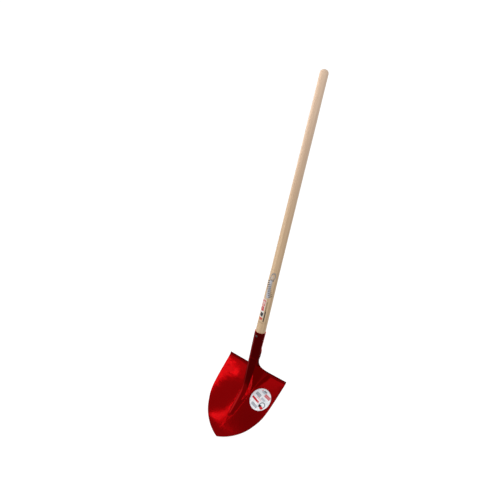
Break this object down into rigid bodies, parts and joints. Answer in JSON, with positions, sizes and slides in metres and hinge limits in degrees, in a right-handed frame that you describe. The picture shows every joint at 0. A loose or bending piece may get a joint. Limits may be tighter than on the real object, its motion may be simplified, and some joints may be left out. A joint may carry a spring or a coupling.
{
  "type": "round-point garden shovel",
  "caption": "Long-handled round-point garden shovel with a straight wooden handle and a red pressed-steel blade, open neck and tubular socket.",
  "frame": {"origin": "on the handle's axis, in the middle of the cylindrical grip at the free end", "axes": "+Z along the handle to its free end, -Y the soil side of the blade, +X to the right seen from the soil side"},
  "size_m": [0.2866, 0.2041, 1.5389],
  "materials": {
    "head_lacquer": "clear red lacquer over bright steel",
    "handle_wood": "turned and sanded, unstained",
    "screw_steel": "zinc plated",
    "label_film": "satin printed film",
    "print_film": "clear film with print"
  },
  "bodies": {
    "root": {"shovel_head": "head_lacquer", "handle": "handle_wood", "fixing_screw": "screw_steel", "blade_label": "label_film", "handle_label": "print_film"}
  },
  "joints": []
}
